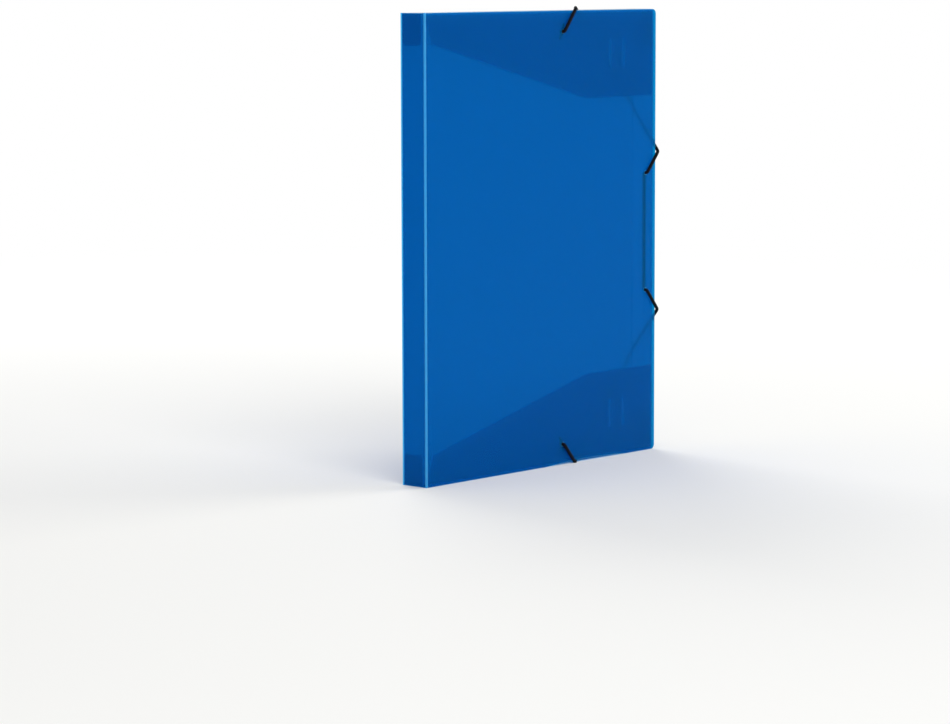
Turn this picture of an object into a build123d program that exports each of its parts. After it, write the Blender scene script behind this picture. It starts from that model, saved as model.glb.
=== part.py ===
# File box for A4 papers, folded from one creased plastic sheet and closed by a
# round elastic cord that hooks over two corners. The box stands on its short
# end: X runs from the spine to the fore-edge, the cover faces -Y, Z is up.

from build123d import *
from math import cos, pi, radians, sin, sqrt
import os

# Closed box, outside to outside
box_width = 245.0  # spine to fore-edge
box_depth = 22.5  # back to cover
box_height = 320.0

# Sheet and creases
sheet = 0.8  # thickness of the plastic sheet
crease_radius = 0.6  # rounded bead of a crease that folds
hinge_gap = 0.05  # between a crease bead and the sheet that turns about it
running_gap = 0.3  # between sheets that move apart
cover_gap = 2.0  # room under the closed cover for the cord ends
fold_rounding = 0.5  # outer edge of a crease that stays folded
cover_corner_radius = 3.5
tab_corner_radius = 3.0

# Inner flaps, measured from the spine and from the creased edge
flap_root_setback = 3.0  # spine end of the crease
flap_heel_setback = 9.0  # spine end of the free edge
flap_heel_depth = 21.0
flap_knee_setback = 170.0  # where the slanted edge turns level
flap_depth = 62.0

# Pairs of locking slits in each flap
slit_first = 33.5  # from the fore-edge
slit_pitch = 15.0
slit_start = 21.0  # from the creased edge
slit_length = 20.0
slit_width = 2.0

# Ears inside the spine and tabs inside the fore-edge wall
spine_ear_length = 21.0
corner_tab_length = 27.0
tuck_gap = 0.3  # between a tucked tab and the sheet beside it

# Elastic cord and its holes
cord_radius = 1.2
cord_lay = 0.2  # between the cord and the faces it crosses
cord_inner_lay = 0.1  # between the inner run and the cover
hole_radius = 1.5
end_hole_from_spine = 142.0
end_hole_from_edge = 14.5
side_hole_from_fore_edge = 11.0
side_hole_half_spacing = 42.5
front_crossing_from_spine = 154.0  # where the cord crosses the short edges
back_crossing_from_spine = 183.0
side_crossing_back = 70.0  # where it crosses the fore-edge, from the short edge
side_crossing_front = 102.5
edge_bend = 2.5  # centre line radius round an edge of the box
hole_bend = 1.5  # centre line radius into a hole

# Dip in the bottom edge, so that the box stands level over the pressed cord
dip_depth = 1.75
dip_half_length = 45.0
pressed_cord_height = 0.15  # height of the cord's centre line under the box

# T-shaped cord ends behind the cover
barb_length = 12.0
barb_radius = 0.7
barb_lean = 23.0  # degrees from upright
barb_gap = 0.1  # between a cord end and the cover
collar_radius = 1.8
collar_length = 1.5
collar_floor = 0.3

# Planes of the sheets
spine_side = -box_width / 2
fore_side = box_width / 2
front_side = -box_depth / 2
back_side = box_depth / 2
crease_inset = crease_radius - sheet / 2
cover_outer = front_side + crease_inset
cover_inner = cover_outer + sheet
back_outer = back_side - crease_inset
back_inner = back_outer - sheet
spine_outer = spine_side + crease_inset
spine_inner = spine_outer + sheet
fore_inner = fore_side - sheet
top_inner = box_height - sheet
bottom_inner = sheet

# Axes of the creases that fold
turn_clearance = crease_radius + hinge_gap
hinge_x = spine_side + crease_radius
spine_back_y = back_side - crease_radius
spine_cover_y = front_side + crease_radius
flap_front = cover_inner + cover_gap
flap_hinge_y = flap_front + crease_radius
flap_inner = flap_hinge_y + sheet / 2
top_hinge_z = box_height - crease_radius
bottom_hinge_z = crease_radius

# Ends of the sheets beside those creases
panel_start = hinge_x + turn_clearance
wall_front = flap_hinge_y + turn_clearance
tuck_front = flap_inner + tuck_gap
wall_spine_end = spine_inner + running_gap
flap_root_x = spine_side + flap_root_setback
flap_heel_x = spine_side + flap_heel_setback
flap_knee_x = spine_side + flap_knee_setback
flap_fore_end = fore_inner - tuck_gap

# Dip in the bottom edge, an arc of a large circle centred below the box
front_crossing_x = spine_side + front_crossing_from_spine
back_crossing_x = spine_side + back_crossing_from_spine
dip_middle = (front_crossing_x + back_crossing_x) / 2
dip_start = dip_middle - dip_half_length
dip_end = dip_middle + dip_half_length
dip_radius = (dip_half_length**2 + dip_depth**2) / (2 * dip_depth)
dip_centre_z = dip_depth - dip_radius
arch_radius = dip_radius + sheet
arch_half_length = sqrt(dip_depth * (2 * arch_radius - dip_depth))

# Holes in the cover
end_hole_x = spine_side + end_hole_from_spine
side_hole_x = fore_side - side_hole_from_fore_edge
middle_z = box_height / 2
end_hole_heights = (end_hole_from_edge, box_height - end_hole_from_edge)
side_hole_heights = (middle_z - side_hole_half_spacing, middle_z + side_hole_half_spacing)

os.makedirs("parts", exist_ok=True)


# A rectangle between two opposite corners of the active sketch
def corner_rectangle(left, low, right, high):
    with Locations(((left + right) / 2, (low + high) / 2)):
        Rectangle(right - left, high - low)


# The dip, cut out of the active sketch on an XZ plane
def cut_dip(margin=0.0):
    with Locations((dip_middle, dip_centre_z)):
        Circle(dip_radius + margin, mode=Mode.SUBTRACT)


def save(part, label):
    part.label = label
    export_step(part, f"parts/{label}.step")


# Back panel, the base of the tray
with BuildPart() as back_panel:
    with BuildSketch(Plane.XZ.offset(-back_outer)):
        corner_rectangle(panel_start, 0, fore_side, box_height)
        cut_dip()
    extrude(amount=sheet)
    outer_face = back_panel.faces().filter_by(Axis.Y).sort_by(Axis.Y)[-1]
    fillet(outer_face.edges().sort_by(Axis.Z)[-1], fold_rounding)
    outer_face = back_panel.faces().filter_by(Axis.Y).sort_by(Axis.Y)[-1]
    fillet(outer_face.edges().sort_by(Axis.X)[-1], fold_rounding)
save(back_panel.part, "back_panel")

# Top wall, folded up from the back panel
with BuildPart() as top_wall:
    with BuildSketch(Plane.XY.offset(top_inner)):
        corner_rectangle(wall_spine_end, wall_front, fore_side, back_inner)
    extrude(amount=sheet)
save(top_wall.part, "top_wall")

# Bottom wall, arched where the cord passes under it
with BuildPart() as bottom_wall:
    with BuildSketch(Plane.XZ.offset(-back_inner)):
        with BuildLine():
            Polyline((wall_spine_end, bottom_inner), (wall_spine_end, 0), (dip_start, 0))
            ThreePointArc((dip_start, 0), (dip_middle, dip_depth), (dip_end, 0))
            Polyline((dip_end, 0), (fore_side, 0), (fore_side, bottom_inner))
            Line((fore_side, bottom_inner), (dip_middle + arch_half_length, bottom_inner))
            ThreePointArc(
                (dip_middle + arch_half_length, bottom_inner),
                (dip_middle, dip_depth + sheet),
                (dip_middle - arch_half_length, bottom_inner),
            )
            Line((dip_middle - arch_half_length, bottom_inner), (wall_spine_end, bottom_inner))
        make_face()
    extrude(amount=back_inner - wall_front)
save(bottom_wall.part, "bottom_wall")

# Fore-edge wall, folded up from the back panel between the other two walls
with BuildPart() as fore_edge_wall:
    with BuildSketch(Plane.YZ.offset(fore_inner)):
        corner_rectangle(flap_front, bottom_inner, back_inner, top_inner)
    extrude(amount=sheet)
save(fore_edge_wall.part, "fore_edge_wall")


# Ear or tab at the end of a short wall, folded and tucked beside the next wall
def tucked_tab(label, sheet_x, creased_z, free_z):
    with BuildPart() as tab:
        with BuildSketch(Plane.YZ.offset(sheet_x)):
            low, high = sorted((creased_z, free_z))
            corner_rectangle(tuck_front, low, back_inner - tuck_gap, high)
        extrude(amount=sheet)
        from_free_end = lambda edge: abs(edge.center().Z - free_z)
        free_edges = tab.edges().filter_by(Axis.X).sort_by(from_free_end)[:2]
        fillet(free_edges, tab_corner_radius)
    save(tab.part, label)


tab_x = fore_inner - sheet
tucked_tab("top_spine_ear", wall_spine_end, top_inner, top_inner - spine_ear_length)
tucked_tab("bottom_spine_ear", wall_spine_end, bottom_inner, bottom_inner + spine_ear_length)
tucked_tab("top_corner_tab", tab_x, top_inner, top_inner - corner_tab_length)
tucked_tab("bottom_corner_tab", tab_x, bottom_inner, bottom_inner + corner_tab_length)

# Spine, which turns about its crease with the back panel
with BuildPart() as spine_panel:
    with BuildSketch(Plane.YZ.offset(spine_outer)):
        corner_rectangle(spine_cover_y + turn_clearance, 0, spine_back_y - turn_clearance, box_height)
    extrude(amount=sheet)
save(spine_panel.part, "spine_panel")


# Crease between the spine and the panel beside it
def upright_crease(label, y):
    with BuildPart() as crease:
        with BuildSketch(Plane.XY):
            with Locations((hinge_x, y)):
                Circle(crease_radius)
        extrude(amount=box_height)
    save(crease.part, label)


upright_crease("spine_back_crease", spine_back_y)
upright_crease("spine_cover_crease", spine_cover_y)

# Front cover, with its four cord holes and the dip in its bottom edge
with BuildPart() as front_cover:
    with BuildSketch(Plane.XZ.offset(-cover_inner)) as cover_outline:
        corner_rectangle(panel_start, 0, fore_side, box_height)
        fillet(cover_outline.vertices().group_by(Axis.X)[-1], cover_corner_radius)
        cut_dip()
        with Locations(*[(end_hole_x, z) for z in end_hole_heights]):
            Circle(hole_radius, mode=Mode.SUBTRACT)
        with Locations(*[(side_hole_x, z) for z in side_hole_heights]):
            Circle(hole_radius, mode=Mode.SUBTRACT)
    extrude(amount=sheet)
save(front_cover.part, "front_cover")


# Inner flap, drawn from the edge it is creased to; inward is -1 from the top edge
# and 1 from the bottom edge
def inner_flap(label, edge_z, inward, arch_margin):
    root_z = edge_z + inward * (crease_radius + turn_clearance)
    heel_z = edge_z + inward * flap_heel_depth
    free_z = edge_z + inward * flap_depth
    slit_z = edge_z + inward * (slit_start + slit_length / 2)
    slit_middle_x = fore_side - slit_first - slit_pitch / 2
    with BuildPart() as flap:
        with BuildSketch(Plane.XZ.offset(-flap_inner)) as outline:
            with BuildLine():
                Polyline(
                    (flap_root_x, root_z),
                    (flap_heel_x, heel_z),
                    (flap_knee_x, free_z),
                    (flap_fore_end, free_z),
                    (flap_fore_end, root_z),
                    close=True,
                )
            make_face()
            free_corners = outline.vertices().filter_by_position(Axis.Z, *sorted((heel_z, free_z)))
            fillet(free_corners, tab_corner_radius)
            with Locations((slit_middle_x, slit_z)):
                with GridLocations(slit_pitch, 0, 2, 1):
                    SlotOverall(slit_length, slit_width, rotation=90, mode=Mode.SUBTRACT)
            if inward > 0:
                cut_dip(arch_margin)
        extrude(amount=sheet)
    save(flap.part, label)


inner_flap("top_flap", box_height, -1, 0.0)
inner_flap("bottom_flap", 0.0, 1, sheet + running_gap)


# Crease of a flap, one bead for each stretch
def flap_crease(label, z, stretches):
    with BuildPart() as crease:
        for start, end in stretches:
            with BuildSketch(Plane.YZ.offset(start)):
                with Locations((flap_hinge_y, z)):
                    Circle(crease_radius)
            extrude(amount=end - start)
    save(crease.part, label)


flap_crease("top_flap_crease", top_hinge_z, [(flap_root_x, flap_fore_end)])
flap_crease("bottom_flap_crease", bottom_hinge_z, [(flap_root_x, dip_start), (dip_end, flap_fore_end)])

# Elastic cord, one length from the upper end hole to the lower one. Each loop
# goes over a short edge, across the corner of the back and round the fore-edge,
# and the two meet in a run inside the cover.
cord_offset = cord_radius + cord_lay
front_run_y = cover_outer - cord_offset
back_run_y = back_outer + cord_offset
fore_run_x = fore_side + cord_offset
top_run_z = box_height + cord_offset
inner_run_y = cover_inner + cord_radius + cord_inner_lay
cord_end_y = cover_inner + barb_gap + collar_length - collar_floor
low_end_z, high_end_z = end_hole_heights
low_side_z, high_side_z = side_hole_heights

cord_points = [
    (end_hole_x, cord_end_y, high_end_z),
    (end_hole_x, front_run_y, high_end_z),
    (front_crossing_x, front_run_y, top_run_z),
    (back_crossing_x, back_run_y, top_run_z),
    (fore_run_x, back_run_y, box_height - side_crossing_back),
    (fore_run_x, front_run_y, box_height - side_crossing_front),
    (side_hole_x, front_run_y, high_side_z),
    (side_hole_x, inner_run_y, high_side_z),
    (side_hole_x, inner_run_y, low_side_z),
    (side_hole_x, front_run_y, low_side_z),
    (fore_run_x, front_run_y, side_crossing_front),
    (fore_run_x, back_run_y, side_crossing_back),
    (back_crossing_x, back_run_y, pressed_cord_height),
    (front_crossing_x, front_run_y, pressed_cord_height),
    (end_hole_x, front_run_y, low_end_z),
    (end_hole_x, cord_end_y, low_end_z),
]
loop_bends = [hole_bend] + [edge_bend] * 4 + [hole_bend] * 2
cord_bends = loop_bends + loop_bends[::-1]

with BuildPart() as elastic_cord:
    with BuildLine() as route:
        FilletPolyline(*cord_points, radius=cord_bends)
    with BuildSketch(Plane(origin=cord_points[0], z_dir=(0, -1, 0))):
        Circle(cord_radius)
    cord_path = route.wires()[0]
    sweep(path=cord_path)
    tube_volume = elastic_cord.part.volume
    split(bisect_by=Plane.XY, keep=Keep.TOP)
save(elastic_cord.part, "elastic_cord")
print("cord length", round(cord_path.length, 1), "mm, bends", cord_bends)
section_volume = pi * cord_radius**2 * cord_path.length
print("tube volume over section times length", round(tube_volume / section_volume, 5))


# T-shaped cord end behind an end hole: a round bar with a collar that grips the
# cord; lean is the bar's tilt from upright, towards the fore-edge at its top
def cord_barb(label, z, lean):
    bar_y = cover_inner + barb_gap + barb_radius
    bar_direction = (sin(radians(lean)), 0, cos(radians(lean)))
    bar_plane = Plane(origin=(end_hole_x, bar_y, z), z_dir=bar_direction)
    collar_y = cover_inner + barb_gap
    with BuildPart() as barb:
        with BuildSketch(bar_plane):
            Circle(barb_radius)
        extrude(amount=barb_length / 2, both=True)
        fillet(barb.edges().filter_by(GeomType.CIRCLE), barb_radius / 2)
        with BuildSketch(Plane.XZ.offset(-collar_y)):
            with Locations((end_hole_x, z)):
                Circle(collar_radius)
        extrude(amount=-collar_length)
        with BuildSketch(Plane.XZ.offset(-collar_y)):
            with Locations((end_hole_x, z)):
                Circle(cord_radius)
        extrude(amount=collar_floor - collar_length, mode=Mode.SUBTRACT)
    save(barb.part, label)


cord_barb("upper_cord_barb", high_end_z, barb_lean)
cord_barb("lower_cord_barb", low_end_z, -barb_lean)
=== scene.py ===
# File box of see-through blue plastic sheet, closed by a black elastic cord
from math import pi, radians, tan

import bpy
from mathutils import Matrix, Vector


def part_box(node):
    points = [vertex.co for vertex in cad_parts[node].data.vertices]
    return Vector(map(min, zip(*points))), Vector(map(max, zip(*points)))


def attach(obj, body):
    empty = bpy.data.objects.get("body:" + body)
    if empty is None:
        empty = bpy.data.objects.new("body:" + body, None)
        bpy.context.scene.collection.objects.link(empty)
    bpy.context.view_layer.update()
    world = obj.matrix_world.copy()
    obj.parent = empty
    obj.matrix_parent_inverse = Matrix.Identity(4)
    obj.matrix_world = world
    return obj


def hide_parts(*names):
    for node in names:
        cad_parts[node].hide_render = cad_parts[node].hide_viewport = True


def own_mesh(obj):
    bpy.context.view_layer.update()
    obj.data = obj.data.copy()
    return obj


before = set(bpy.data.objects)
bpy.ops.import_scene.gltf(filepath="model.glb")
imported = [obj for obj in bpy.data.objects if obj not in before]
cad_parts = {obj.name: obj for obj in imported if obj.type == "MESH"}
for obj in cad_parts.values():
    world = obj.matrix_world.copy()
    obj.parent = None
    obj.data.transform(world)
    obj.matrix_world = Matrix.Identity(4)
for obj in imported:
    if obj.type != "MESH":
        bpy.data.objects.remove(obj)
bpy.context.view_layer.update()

scene = bpy.context.scene
mm = 0.001
print("frame loaded:", len(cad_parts), "nodes")


# sRGB hex colour as linear light
def hexToLinear(hexColour):
    shares = [int(hexColour[at : at + 2], 16) / 255 for at in (1, 3, 5)]
    light = [s / 12.92 if s <= 0.04045 else ((s + 0.055) / 1.055) ** 2.4 for s in shares]
    return (*light, 1.0)


# One node, with its own settings, its sockets' values and the links into it
def addNode(tree, kind, settings={}, values={}, links={}):
    node = tree.nodes.new(kind)
    for setting, value in settings.items():
        setattr(node, setting, value)
    for socket, value in values.items():
        node.inputs[socket].default_value = value
    for socket, source in links.items():
        tree.links.new(source, node.inputs[socket])
    return node


def newMaterial(name):
    material = bpy.data.materials.new(name)
    material.use_nodes = True
    material.node_tree.nodes.clear()
    return material, material.node_tree


def finishMaterial(tree, shader):
    addNode(tree, "ShaderNodeOutputMaterial", links={"Surface": shader.outputs[0]})


def giveMaterial(piece, material):
    piece.data.materials.clear()
    piece.data.materials.append(material)


# 1 for what the camera sees, straight or through the sheet, and 0 for all other light
def addSeenShare(tree):
    rays = addNode(tree, "ShaderNodeLightPath")
    return addNode(
        tree, "ShaderNodeMath", {"operation": "MAXIMUM"},
        links={0: rays.outputs["Is Camera Ray"], 1: rays.outputs["Is Transmission Ray"]},
    )


# Two colours mixed by a share, as one colour output
def mixColours(tree, share, first, second):
    mix = addNode(tree, "ShaderNodeMix", {"data_type": "RGBA"})
    for socket, colour in ((6, first), (7, second)):
        if isinstance(colour, str):
            mix.inputs[socket].default_value = hexToLinear(colour)
        else:
            tree.links.new(colour, mix.inputs[socket])
    tree.links.new(share, mix.inputs[0])
    return mix.outputs[2]


# Deselects all and leaves one piece active
def takeOnly(piece):
    if bpy.context.object and bpy.context.object.mode != "OBJECT":
        bpy.ops.object.mode_set(mode="OBJECT")
    bpy.ops.object.select_all(action="DESELECT")
    piece.select_set(True)
    bpy.context.view_layer.objects.active = piece


# Merges the vertices of a piece that lie closer together than the distance
def mergeCloser(piece, distance):
    takeOnly(piece)
    bpy.ops.object.mode_set(mode="EDIT")
    bpy.ops.mesh.select_all(action="SELECT")
    bpy.ops.mesh.remove_doubles(threshold=distance)
    bpy.ops.object.mode_set(mode="OBJECT")


# Goes into edit mode with just the faces that pass the test selected
def selectFaces(piece, wanted):
    takeOnly(piece)
    bpy.context.tool_settings.mesh_select_mode = (False, False, True)
    bpy.ops.object.mode_set(mode="EDIT")
    bpy.ops.mesh.select_all(action="DESELECT")
    bpy.ops.object.mode_set(mode="OBJECT")
    for face in piece.data.polygons:
        face.select = wanted(face)
    bpy.ops.object.mode_set(mode="EDIT")


def applyModifier(piece, kind, **settings):
    takeOnly(piece)
    modifier = piece.modifiers.new(kind.title(), kind)
    for setting, value in settings.items():
        setattr(modifier, setting, value)
    bpy.ops.object.modifier_apply(modifier=modifier.name)


# Rounds the edges that turn by more than the angle, in degrees
def easeEdges(piece, width, steps, angle):
    applyModifier(
        piece, "BEVEL", width=width, segments=steps, limit_method="ANGLE",
        angle_limit=radians(angle),
    )


# Camera, at the photograph's viewing angle: place in metres, turns in degrees, lens in mm
camera = dict(place=(-1.7223, -1.4984, 0.3512), turn=-47.954, tilt=6.921, roll=-0.131, lens=123.72)

cameraData = bpy.data.cameras.new("camera")
cameraData.lens = camera["lens"]
cameraObject = bpy.data.objects.new("camera", cameraData)
scene.collection.objects.link(cameraObject)
turned = Matrix.Rotation(radians(camera["turn"]), 4, "Z")
tilted = Matrix.Rotation(radians(90 - camera["tilt"]), 4, "X")
rolled = Matrix.Rotation(radians(camera["roll"]), 4, "Z")
cameraObject.matrix_world = Matrix.Translation(camera["place"]) @ turned @ tilted @ rolled
scene.camera = cameraObject
print("camera placed")

# Plain studio: white surroundings and three large lamps
studio = dict(
    white="#FFFFFF",
    fill=0.55,  # strength of the surroundings as light
    lamps={
        "key_lamp": dict(place=(-1.1, -1.9, 1.7), size=1.5, power=26),
        "side_lamp": dict(place=(1.9, -0.9, 1.2), size=1.4, power=16),
        "back_lamp": dict(place=(0.9, 1.8, 1.5), size=1.4, power=22),
    },
    aim=Vector((0, 0, 0.14)),
)

world = bpy.data.worlds.new("studio")
scene.world = world
world.use_nodes = True
world.node_tree.nodes.clear()
seen = addSeenShare(world.node_tree)
fill = addNode(world.node_tree, "ShaderNodeBackground", values={"Strength": studio["fill"]})
white = addNode(world.node_tree, "ShaderNodeBackground", values={"Strength": 1.0})
for background in (fill, white):
    background.inputs["Color"].default_value = hexToLinear(studio["white"])
sky = addNode(
    world.node_tree, "ShaderNodeMixShader",
    links={0: seen.outputs[0], 1: fill.outputs[0], 2: white.outputs[0]},
)
addNode(world.node_tree, "ShaderNodeOutputWorld", links={"Surface": sky.outputs[0]})

for name, lamp in studio["lamps"].items():
    light = bpy.data.lights.new(name, "AREA")
    light.size = lamp["size"]
    light.energy = lamp["power"]
    lampObject = bpy.data.objects.new(name, light)
    lampObject.location = lamp["place"]
    towards = studio["aim"] - Vector(lamp["place"])
    lampObject.rotation_euler = towards.to_track_quat("-Z", "Y").to_euler()
    scene.collection.objects.link(lampObject)

scene.view_settings.view_transform = "Standard"
scene.cycles.transparent_max_bounces = 40  # a line of sight crosses many sheets
scene.cycles.transmission_bounces = 24
scene.cycles.max_bounces = 24


# Pale floor, which fades to white away from the box
def makeFloor():
    floor = dict(side=90.0, colour="#F4F4F2", fadeStart=0.7, fadeEnd=1.8)
    bpy.ops.object.select_all(action="DESELECT")
    bpy.ops.mesh.primitive_plane_add(size=floor["side"])
    piece = bpy.context.object
    piece.name = "floor"
    material, tree = newMaterial("white studio paper")
    coords = addNode(tree, "ShaderNodeTexCoord")
    distance = addNode(
        tree, "ShaderNodeVectorMath", {"operation": "LENGTH"}, links={0: coords.outputs["Object"]}
    )
    fade = addNode(
        tree, "ShaderNodeMapRange", {"interpolation_type": "SMOOTHSTEP"},
        {"From Min": floor["fadeStart"], "From Max": floor["fadeEnd"]},
        {"Value": distance.outputs["Value"]},
    )
    share = addNode(
        tree, "ShaderNodeMath", {"operation": "MULTIPLY"},
        links={0: fade.outputs[0], 1: addSeenShare(tree).outputs[0]},
    )
    paper = addNode(tree, "ShaderNodeBsdfDiffuse", values={"Color": hexToLinear(floor["colour"])})
    glow = addNode(tree, "ShaderNodeEmission", values={"Color": hexToLinear(studio["white"])})
    mixed = addNode(
        tree, "ShaderNodeMixShader",
        links={0: share.outputs[0], 1: paper.outputs[0], 2: glow.outputs[0]},
    )
    finishMaterial(tree, mixed)
    giveMaterial(piece, material)


makeFloor()
print("studio ready")


# Polypropylene sheet, extruded and see-through, with a fine matte emboss: light
# passes tinted and softly blurred, some of it scatters in the sheet, and a paler
# colour along cut edges and holes is a painted highlight
def makeSheetMaterial():
    sheet = dict(
        tint="#20CEEE",  # what one face lets through
        tintDeeper="#1EC8EA",
        # paler tint and stronger scatter along cut edges: painted highlight
        tintPaintedHighlight="#8CE0EE",
        scatter="#009CDA",  # what the sheet sends back
        scatterPaintedHighlight="#7FE0F4",
        scatterShare=0.30,
        scatterSharePaintedHighlight=0.65,
        blurShare=0.80,  # of the passing light, blurred by the emboss
        blurRoughness=0.12,
        backShare=0.5,  # of the scattered light, sent on through the sheet
        flowLength=90 * mm,  # broad marks along the extrusion, drawn out upwards
        flowDrawn=0.35,
        flowDetail=3.0,
        grain=1.2 * mm,  # emboss, coarser than a real one; it ruffles the gloss alone
        grainDetail=1.0,
        grainHeight=0.1 * mm,
        grainStrength=0.02,
        roughness=0.28,
        index=1.49,
        glossIndex=1.10,  # the emboss scatters most of the mirrored light
    )
    material, tree = newMaterial("blue polypropylene sheet")
    coords = addNode(tree, "ShaderNodeTexCoord")
    # 1 on the rim band, where a paler colour paints the edge highlight
    edge = addNode(tree, "ShaderNodeAttribute", {"attribute_name": "edgePaintedHighlight"})
    stretched = addNode(
        tree, "ShaderNodeMapping", values={"Scale": (1, 1, sheet["flowDrawn"])},
        links={"Vector": coords.outputs["Object"]},
    )
    flow = addNode(
        tree, "ShaderNodeTexNoise",
        values={"Scale": 1 / sheet["flowLength"], "Detail": sheet["flowDetail"]},
        links={"Vector": stretched.outputs[0]},
    )
    grain = addNode(
        tree, "ShaderNodeTexNoise",
        values={"Scale": 1 / sheet["grain"], "Detail": sheet["grainDetail"]},
        links={"Vector": coords.outputs["Object"]},
    )
    bump = addNode(
        tree, "ShaderNodeBump",
        values={"Strength": sheet["grainStrength"], "Distance": sheet["grainHeight"]},
        links={"Height": grain.outputs[0]},
    )
    body = mixColours(tree, flow.outputs[0], sheet["tint"], sheet["tintDeeper"])
    tint = mixColours(tree, edge.outputs["Fac"], body, sheet["tintPaintedHighlight"])
    scatter = mixColours(tree, edge.outputs["Fac"], sheet["scatter"], sheet["scatterPaintedHighlight"])
    share = addNode(
        tree, "ShaderNodeMapRange", {},
        {"To Min": sheet["scatterShare"], "To Max": sheet["scatterSharePaintedHighlight"]},
        {"Value": edge.outputs["Fac"]},
    )
    straight = addNode(tree, "ShaderNodeBsdfTransparent", links={"Color": tint})
    blurred = addNode(
        tree, "ShaderNodeBsdfRefraction",
        values={"Roughness": sheet["blurRoughness"], "IOR": sheet["index"]},
        links={"Color": tint},
    )
    paths = addNode(tree, "ShaderNodeLightPath")
    lighting = addNode(
        tree, "ShaderNodeMath", {"operation": "MAXIMUM"},
        links={0: paths.outputs["Is Shadow Ray"], 1: paths.outputs["Is Diffuse Ray"]},
    )
    blurShare = addNode(
        tree, "ShaderNodeMapRange", {},
        {"To Min": sheet["blurShare"], "To Max": 0.0},
        {"Value": lighting.outputs[0]},
    )
    passed = addNode(
        tree, "ShaderNodeMixShader",
        links={0: blurShare.outputs[0], 1: straight.outputs[0], 2: blurred.outputs[0]},
    )
    front = addNode(tree, "ShaderNodeBsdfDiffuse", links={"Color": scatter})
    back = addNode(tree, "ShaderNodeBsdfTranslucent", links={"Color": scatter})
    haze = addNode(
        tree, "ShaderNodeMixShader", values={0: sheet["backShare"]},
        links={1: front.outputs[0], 2: back.outputs[0]},
    )
    solid = addNode(
        tree, "ShaderNodeMixShader",
        links={0: share.outputs[0], 1: passed.outputs[0], 2: haze.outputs[0]},
    )
    mirror = addNode(tree, "ShaderNodeFresnel", values={"IOR": sheet["glossIndex"]})
    geometry = addNode(tree, "ShaderNodeNewGeometry")
    outside = addNode(
        tree, "ShaderNodeMath", {"operation": "SUBTRACT"}, {0: 1.0},
        {1: geometry.outputs["Backfacing"]},
    )
    glossShare = addNode(
        tree, "ShaderNodeMath", {"operation": "MULTIPLY"},
        links={0: mirror.outputs[0], 1: outside.outputs[0]},
    )
    gloss = addNode(
        tree, "ShaderNodeBsdfGlossy", values={"Roughness": sheet["roughness"]},
        links={"Normal": bump.outputs[0]},
    )
    shader = addNode(
        tree, "ShaderNodeMixShader",
        links={0: glossShare.outputs[0], 1: solid.outputs[0], 2: gloss.outputs[0]},
    )
    finishMaterial(tree, shader)
    return material


sheetMaterial = makeSheetMaterial()

# The panels, each creased or cut from the one sheet: its node, its body and the
# direction of its thickness
panels = [
    ("back_panel", "tray", "Y"),
    ("top_wall", "tray", "Z"),
    ("bottom_wall", "tray", "Z"),
    ("fore_edge_wall", "tray", "X"),
    ("top_spine_ear", "tray", "X"),
    ("bottom_spine_ear", "tray", "X"),
    ("top_corner_tab", "tray", "X"),
    ("bottom_corner_tab", "tray", "X"),
    ("spine_panel", "spine", "X"),
    ("front_cover", "cover", "Y"),
    ("top_flap", "top_flap", "Y"),
    ("bottom_flap", "bottom_flap", "Y"),
]
panel = dict(
    weld=0.001 * mm,  # vertices closer than this become one
    level=0.1,  # degrees between faces that become one
    # the paler rim band is a painted highlight
    rim=0.35 * mm,  # width of the paler band along cut edges and holes
    flat=0.99,  # share of a face's normal that is across the sheet
    easing=0.12 * mm,
    easingSteps=2,
    easedFrom=40,  # degrees
    smoothUpTo=30,
)


# One panel: the imported shape with its rim marked off for a painted highlight and its sharp edges
# eased
def makePanel(node, body, thickness):
    piece = bpy.data.objects.new(f"{node}_sheet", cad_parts[node].data.copy())
    scene.collection.objects.link(piece)
    takeOnly(piece)
    bpy.ops.mesh.customdata_custom_splitnormals_clear()
    bpy.ops.object.mode_set(mode="EDIT")
    bpy.ops.mesh.select_all(action="SELECT")
    bpy.ops.mesh.remove_doubles(threshold=panel["weld"])
    bpy.ops.mesh.dissolve_limited(angle_limit=radians(panel["level"]))
    bpy.ops.object.mode_set(mode="OBJECT")
    axis = "XYZ".index(thickness)
    selectFaces(piece, lambda face: abs(face.normal[axis]) > panel["flat"])
    bpy.ops.mesh.inset(thickness=panel["rim"], use_even_offset=True)
    bpy.ops.object.mode_set(mode="OBJECT")
    # marks the rim band that the sheet material paints as a paler highlight
    glow = piece.data.attributes.new("edgePaintedHighlight", "FLOAT", "POINT")
    shares = [1.0] * len(piece.data.vertices)
    for face in piece.data.polygons:
        if face.select:
            for vertex in face.vertices:
                shares[vertex] = 0.0
    glow.data.foreach_set("value", shares)
    easeEdges(piece, panel["easing"], panel["easingSteps"], panel["easedFrom"])
    bpy.ops.object.shade_smooth_by_angle(angle=radians(panel["smoothUpTo"]))
    giveMaterial(piece, sheetMaterial)
    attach(piece, body)
    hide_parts(node)


for node, body, thickness in panels:
    makePanel(node, body, thickness)
print("panels made:", len(panels))
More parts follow.
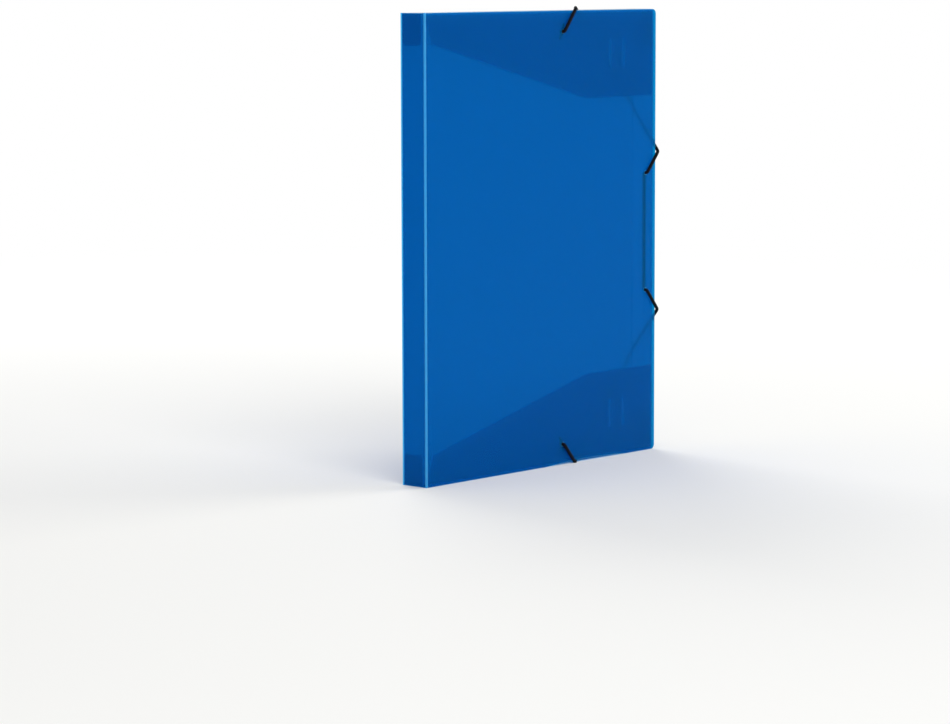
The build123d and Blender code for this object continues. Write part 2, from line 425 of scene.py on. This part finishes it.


# Scored and coined fold in the same polypropylene, whitened and thinned by the
# scoring bar; its pale line is partly that whitening and partly a painted highlight
def makeCreaseWhiteningAndHighlightMaterial():
    crease = dict(
        # pale colours: the scoring's whitening together with a painted highlight
        tint="#A6ECF8",  # what the thin fold lets through
        scatter="#6CD8FF",  # what it sends back
        scatterDeeper="#4CC4F8",
        scatterShare=0.6,
        backShare=0.4,  # of the scattered light, sent on through the fold
        spacing=1.5 * mm,
        detail=2.0,
        roughness=0.3,
        index=1.49,
    )
    material, tree = newMaterial("scored polypropylene crease with painted highlight")
    coords = addNode(tree, "ShaderNodeTexCoord")
    coining = addNode(
        tree, "ShaderNodeTexNoise",
        values={"Scale": 1 / crease["spacing"], "Detail": crease["detail"]},
        links={"Vector": coords.outputs["Object"]},
    )
    colour = mixColours(tree, coining.outputs[0], crease["scatter"], crease["scatterDeeper"])
    passed = addNode(
        tree, "ShaderNodeBsdfTransparent", values={"Color": hexToLinear(crease["tint"])}
    )
    front = addNode(
        tree, "ShaderNodeBsdfPrincipled",
        values={"Roughness": crease["roughness"], "IOR": crease["index"]},
        links={"Base Color": colour},
    )
    back = addNode(tree, "ShaderNodeBsdfTranslucent", links={"Color": colour})
    haze = addNode(
        tree, "ShaderNodeMixShader", values={0: crease["backShare"]},
        links={1: front.outputs[0], 2: back.outputs[0]},
    )
    shader = addNode(
        tree, "ShaderNodeMixShader", values={0: crease["scatterShare"]},
        links={1: passed.outputs[0], 2: haze.outputs[0]},
    )
    finishMaterial(tree, shader)
    return material


creaseWhiteningAndHighlightMaterial = makeCreaseWhiteningAndHighlightMaterial()

creases = [
    ("spine_back_crease", "spine", "Z"),
    ("spine_cover_crease", "spine", "Z"),
    ("top_flap_crease", "top_flap", "X"),
    ("bottom_flap_crease", "bottom_flap", "X"),
]
creaseBead = dict(
    sides=24,
    sideways=0.5,  # at most this share of a side's normal is along the bead
    scoreEvery=3,  # sides from one score line to the next
    land=0.05 * mm,  # left on each side of a score line
    groove=0.08 * mm,
    endEasing=0.15 * mm,
    endSteps=3,
    easedFrom=60,  # degrees
    weld=0.003 * mm,  # vertices closer than this become one
    smoothUpTo=40,
)


# One bead along a crease, with fine score lines pressed along it
def makeBead(start, end, radius):
    run = Vector(end) - Vector(start)
    bpy.ops.object.select_all(action="DESELECT")
    bpy.ops.mesh.primitive_cylinder_add(
        vertices=creaseBead["sides"], radius=radius, depth=run.length,
        location=(Vector(start) + Vector(end)) / 2,
        rotation=run.to_track_quat("Z", "Y").to_euler(),
    )
    bead = bpy.context.object
    bpy.ops.object.transform_apply(location=True, rotation=True, scale=True)
    along = run.normalized()
    sides = [
        face.index for face in bead.data.polygons
        if abs(face.normal.dot(along)) < creaseBead["sideways"]
    ]
    scored = sides[:: creaseBead["scoreEvery"]]
    selectFaces(bead, lambda face: face.index in scored)
    bpy.ops.mesh.inset(thickness=creaseBead["land"], use_individual=True)
    bpy.ops.transform.shrink_fatten(value=-creaseBead["groove"])
    bpy.ops.object.mode_set(mode="OBJECT")
    easeEdges(bead, creaseBead["endEasing"], creaseBead["endSteps"], creaseBead["easedFrom"])
    mergeCloser(bead, creaseBead["weld"])
    bpy.ops.object.shade_smooth_by_angle(angle=radians(creaseBead["smoothUpTo"]))
    return bead


def joinPieces(pieces, name):
    takeOnly(pieces[0])
    for piece in pieces[1:]:
        piece.select_set(True)
    if len(pieces) > 1:
        bpy.ops.object.join()
    joined = bpy.context.object
    joined.name = name
    return joined


# The stretches of a crease's node along one axis, found from its vertices to the
# micrometre
def stretchesOf(node, axis):
    ends = sorted({round(v.co[axis], 6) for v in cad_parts[node].data.vertices})
    return list(zip(ends[0::2], ends[1::2]))


def makeCrease(node, body, direction):
    low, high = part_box(node)
    axis = "XYZ".index(direction)
    middle = (low + high) / 2
    radius = (high - low).y / 2
    beads = []
    for start, end in stretchesOf(node, axis):
        first, last = middle.copy(), middle.copy()
        first[axis], last[axis] = start, end
        beads.append(makeBead(first, last, radius))
    piece = joinPieces(beads, f"{node}_bead")
    giveMaterial(piece, creaseWhiteningAndHighlightMaterial)
    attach(piece, body)
    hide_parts(node)


for node, body, direction in creases:
    makeCrease(node, body, direction)
print("creases made:", len(creases))


# Elastic cord, latex core under a braided polyester sleeve: matt, near black, with
# a soft sheen on the strands
def makeCordMaterial():
    braid = dict(
        thread="#0B0D16",
        gap="#010103",
        roughness=0.75,
        sheen=0.02,
        shine=0.12,
        lay=7.5 * mm,  # one turn of a strand round the cord
        strands=10,  # each way, drawn coarser than real threads
        relief=0.12 * mm,
        reliefStrength=1.0,
    )
    perMetre = 2 * pi * braid["strands"] / braid["lay"]
    perTurn = 2 * pi * braid["strands"]
    material, tree = newMaterial("braided polyester over latex")
    coords = addNode(tree, "ShaderNodeTexCoord")
    waves = []
    for slant in (1, -1):
        phase = addNode(
            tree, "ShaderNodeVectorMath", {"operation": "DOT_PRODUCT"},
            {1: (perMetre, perTurn * slant, 0)},
            {0: coords.outputs["UV"]},
        )
        waves.append(addNode(
            tree, "ShaderNodeMath", {"operation": "SINE"}, links={0: phase.outputs["Value"]}
        ))
    strands = addNode(
        tree, "ShaderNodeMath", {"operation": "MAXIMUM"},
        links={0: waves[0].outputs[0], 1: waves[1].outputs[0]},
    )
    colour = mixColours(tree, strands.outputs[0], braid["gap"], braid["thread"])
    bump = addNode(
        tree, "ShaderNodeBump",
        values={"Strength": braid["reliefStrength"], "Distance": braid["relief"]},
        links={"Height": strands.outputs[0]},
    )
    shader = addNode(
        tree, "ShaderNodeBsdfPrincipled",
        values={
            "Roughness": braid["roughness"], "Sheen Weight": braid["sheen"],
            "Specular IOR Level": braid["shine"],
        },
        links={"Base Color": colour, "Normal": bump.outputs[0]},
    )
    finishMaterial(tree, shader)
    return material


# The cord's route, one length from the upper end hole to the lower one, in mm
cordRoute = [
    (19.5, -8.95, 305.5),
    (19.5, -12.45, 305.5),
    (31.5, -12.45, 321.4),
    (60.5, 12.45, 321.4),
    (123.9, 12.45, 250.0),
    (123.9, -12.45, 217.5),
    (111.5, -12.45, 202.5),
    (111.5, -8.95, 202.5),
    (111.5, -8.95, 117.5),
    (111.5, -12.45, 117.5),
    (123.9, -12.45, 102.5),
    (123.9, 12.45, 70.0),
    (60.5, 12.45, 0.15),
    (31.5, -12.45, 0.15),
    (19.5, -12.45, 14.5),
    (19.5, -8.95, 14.5),
]
cord = dict(
    radius=1.2 * mm,
    edgeBend=2.5 * mm,  # round an edge of the box
    holeBend=1.5 * mm,  # into a hole
    bendSteps=8,
    roundness=6,
    weld=0.001 * mm,  # vertices closer than this become one
    smoothUpTo=40,  # degrees
    flattened=0.3,  # share of the loops' depth left when the cover lies open
)
tubeSides = 2 * cord["roundness"] + 4  # as a curve's bevel makes them


# Rounds one corner of a wire by beveling its vertex
def roundCorner(wire, corner, before, after, bend):
    turn = (corner - before).angle(after - corner)
    takeOnly(wire)
    bpy.context.tool_settings.mesh_select_mode = (True, False, False)
    bpy.ops.object.mode_set(mode="EDIT")
    bpy.ops.mesh.select_all(action="DESELECT")
    bpy.ops.object.mode_set(mode="OBJECT")
    nearest = min(wire.data.vertices, key=lambda vertex: (vertex.co - corner).length)
    nearest.select = True
    bpy.ops.object.mode_set(mode="EDIT")
    bpy.ops.mesh.bevel(
        offset_type="OFFSET", offset=bend * tan(turn / 2), segments=cord["bendSteps"],
        affect="VERTICES",
    )
    bpy.ops.object.mode_set(mode="OBJECT")


# Makes the UV map's first value the distance along the cord, in metres; the rings
# of the tube follow those of its end caps
def measureAlong(tube):
    capRings = 2
    corners = [vertex.co for vertex in tube.vertices]
    firsts = range(capRings * tubeSides, len(corners), tubeSides)
    rings = [corners[first : first + tubeSides] for first in firsts]
    centres = [sum(ring, Vector()) / tubeSides for ring in rings]
    travelled = [0.0]
    for before, after in zip(centres, centres[1:]):
        travelled.append(travelled[-1] + (after - before).length)
    for loop, place in zip(tube.loops, tube.uv_layers[0].data):
        place.uv.x = travelled[max(loop.vertex_index // tubeSides - capRings, 0)]


def makeCord():
    points = [Vector(point) * mm for point in cordRoute]
    bpy.ops.object.select_all(action="DESELECT")
    bpy.ops.mesh.primitive_plane_add(size=mm, location=(0, 0, 0))
    wire = bpy.context.object
    wire.name = "elastic_cord_braided"
    bpy.context.tool_settings.mesh_select_mode = (True, False, False)
    bpy.ops.object.mode_set(mode="EDIT")
    bpy.ops.mesh.select_all(action="SELECT")
    bpy.ops.mesh.merge(type="CENTER")
    bpy.ops.transform.translate(value=points[0])
    for before, after in zip(points, points[1:]):
        bpy.ops.mesh.extrude_vertices_move(TRANSFORM_OT_translate={"value": after - before})
    bpy.ops.object.mode_set(mode="OBJECT")
    half = [cord["holeBend"]] + [cord["edgeBend"]] * 4 + [cord["holeBend"]] * 2
    bends = half + half[::-1]
    for place, bend in enumerate(bends, 1):
        roundCorner(wire, points[place], points[place - 1], points[place + 1], bend)
    takeOnly(wire)
    bpy.ops.object.convert(target="CURVE")
    wire.data.bevel_depth = cord["radius"]
    wire.data.bevel_resolution = cord["roundness"]
    wire.data.use_fill_caps = True
    bpy.ops.object.convert(target="MESH")
    measureAlong(wire.data)
    mergeCloser(wire, cord["weld"])  # joins the caps to the tube
    for vertex in wire.data.vertices:
        vertex.co.z = max(vertex.co.z, 0.0)  # pressed flat under the box
    bpy.ops.object.shade_smooth_by_angle(angle=radians(cord["smoothUpTo"]))
    giveMaterial(wire, makeCordMaterial())
    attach(wire, "cover")
    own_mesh(wire)
    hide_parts("elastic_cord")


makeCord()
print("cord made")


# Moulded nylon cord end, plain black with a satin skin from the mould
def makeEndMaterial():
    nylon = dict(
        colour="#131418",
        worn="#1E2026",
        roughness=0.38,
        index=1.53,
        grain=0.5 * mm,
        grainDetail=2.0,
        grainHeight=0.05 * mm,
        grainStrength=0.15,
    )
    material, tree = newMaterial("moulded nylon")
    coords = addNode(tree, "ShaderNodeTexCoord")
    grain = addNode(
        tree, "ShaderNodeTexNoise",
        values={"Scale": 1 / nylon["grain"], "Detail": nylon["grainDetail"]},
        links={"Vector": coords.outputs["Object"]},
    )
    colour = mixColours(tree, grain.outputs[0], nylon["colour"], nylon["worn"])
    bump = addNode(
        tree, "ShaderNodeBump",
        values={"Strength": nylon["grainStrength"], "Distance": nylon["grainHeight"]},
        links={"Height": grain.outputs[0]},
    )
    shader = addNode(
        tree, "ShaderNodeBsdfPrincipled",
        values={"Roughness": nylon["roughness"], "IOR": nylon["index"]},
        links={"Base Color": colour, "Normal": bump.outputs[0]},
    )
    finishMaterial(tree, shader)
    return material


barb = dict(
    length=12 * mm,
    radius=0.7 * mm,
    lean=23.0,  # degrees from upright
    barEasing=0.35 * mm,
    barSteps=4,
    collarRadius=1.8 * mm,
    collarLength=1.5 * mm,
    collarEasing=0.2 * mm,
    collarSteps=3,
    gap=0.1 * mm,  # behind the cover
    sides=24,
    easedFrom=60,  # degrees
    smoothUpTo=35,
)


def addCylinder(radius, depth, place, rotation):
    bpy.ops.object.select_all(action="DESELECT")
    bpy.ops.mesh.primitive_cylinder_add(
        vertices=barb["sides"], radius=radius, depth=depth, location=place, rotation=rotation
    )
    piece = bpy.context.object
    bpy.ops.object.transform_apply(location=True, rotation=True, scale=True)
    return piece


# T-shaped cord end: a bar behind the cover and the collar that grips the cord
def makeBarb(node, place, lean, material):
    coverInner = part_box("front_cover")[1].y
    barPlace = (place[0], coverInner + barb["gap"] + barb["radius"], place[2])
    bar = addCylinder(barb["radius"], barb["length"], barPlace, (0, radians(lean), 0))
    easeEdges(bar, barb["barEasing"], barb["barSteps"], barb["easedFrom"])
    collarPlace = (place[0], coverInner + barb["gap"] + barb["collarLength"] / 2, place[2])
    collar = addCylinder(barb["collarRadius"], barb["collarLength"], collarPlace, (pi / 2, 0, 0))
    easeEdges(collar, barb["collarEasing"], barb["collarSteps"], barb["easedFrom"])
    applyModifier(bar, "BOOLEAN", operation="UNION", object=collar, solver="EXACT")
    bpy.data.objects.remove(collar)
    takeOnly(bar)
    bar.name = f"{node}_moulding"
    bpy.ops.object.shade_smooth_by_angle(angle=radians(barb["smoothUpTo"]))
    giveMaterial(bar, material)
    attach(bar, "cover")
    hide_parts(node)


endMaterial = makeEndMaterial()
makeBarb("upper_cord_barb", Vector(cordRoute[0]) * mm, barb["lean"], endMaterial)
makeBarb("lower_cord_barb", Vector(cordRoute[-1]) * mm, -barb["lean"], endMaterial)
print("cord ends made")
